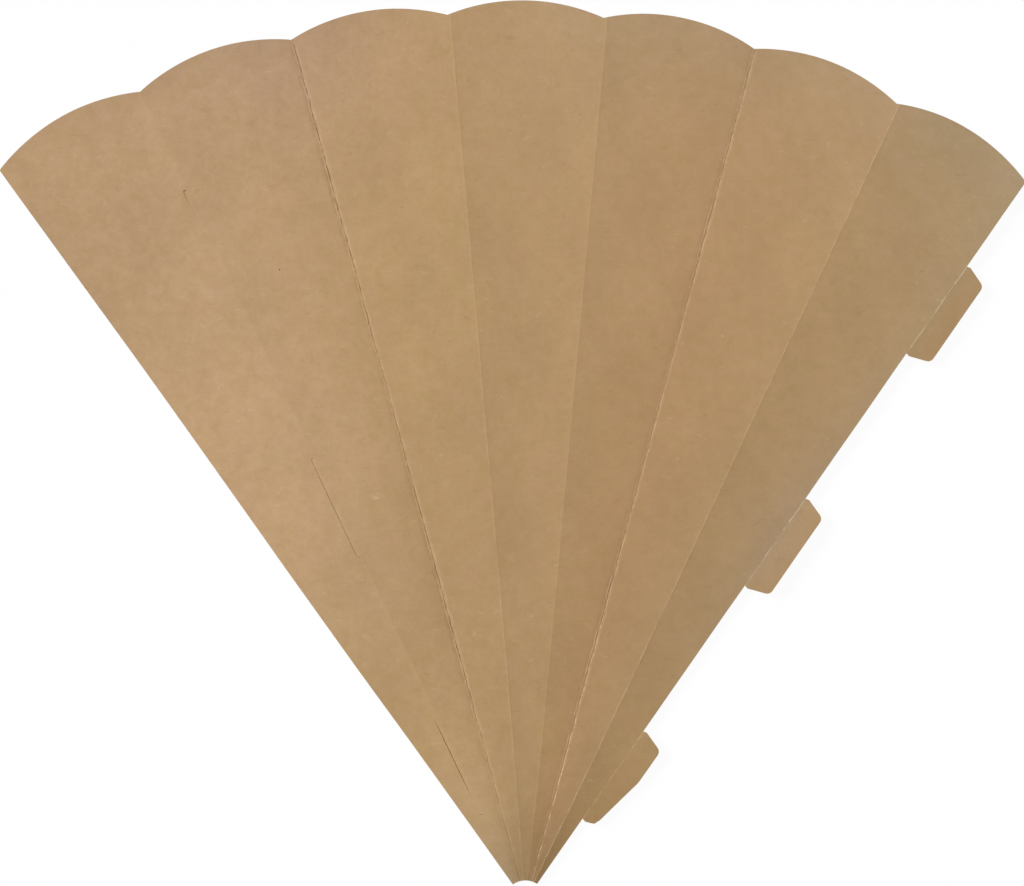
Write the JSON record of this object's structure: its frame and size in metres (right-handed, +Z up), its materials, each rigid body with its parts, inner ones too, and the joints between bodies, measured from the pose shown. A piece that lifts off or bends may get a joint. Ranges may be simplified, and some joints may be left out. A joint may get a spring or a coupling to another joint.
{
  "type": "school cone blank",
  "caption": "Flat fan-shaped kraft card blank of a six-sided school cone, with scalloped rim, radial creases, locking tabs on one edge and hooked slits beside a fold.",
  "frame": {"origin": "middle of the blank's bounding box in plan, at the surface that it lies on", "axes": "+X across the fan from the lap panel to the tabbed edge, +Y from the tip to the scalloped rim, +Z up out of the visible face"},
  "size_m": [0.7872, 0.6823, 0.0037],
  "materials": {
    "kraft_card": "uncoated kraft card, matt, with fine fibres and lighter rubbed creases"
  },
  "bodies": {
    "root": {"cone_blank": "kraft_card"}
  },
  "joints": []
}
